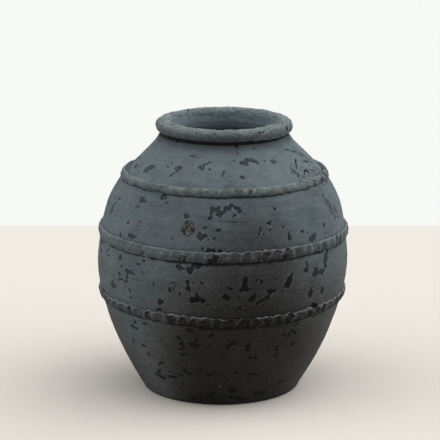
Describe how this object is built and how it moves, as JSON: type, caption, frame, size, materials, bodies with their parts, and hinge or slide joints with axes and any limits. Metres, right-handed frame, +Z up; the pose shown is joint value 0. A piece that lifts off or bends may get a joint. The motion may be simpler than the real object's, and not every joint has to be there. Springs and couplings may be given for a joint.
{
  "type": "clay jar",
  "caption": "Round-bellied matte black clay jar with a narrow neck, a thick rolled lip and pinched clay bands round the body.",
  "frame": {"origin": "centre of the flat foot, on the surface the jar stands on", "axes": "+Z up along the jar's axis of revolution, from the foot to the mouth; +X and +Y are any two square directions across it"},
  "size_m": [0.2542, 0.254, 0.2762],
  "materials": {
    "wall_clay": "matt, chalky slip over dark fired clay",
    "trim_clay": "matt, dusty slip worn along the raised edges"
  },
  "bodies": {
    "root": {"floor_slab": "wall_clay", "lower_wall": "wall_clay", "lower_belly_wall": "wall_clay", "upper_belly_wall": "wall_clay", "shoulder_wall": "wall_clay", "neck_collar": "wall_clay", "rolled_lip": "trim_clay", "lower_band": "trim_clay", "middle_band": "trim_clay", "upper_band": "trim_clay"}
  },
  "joints": []
}
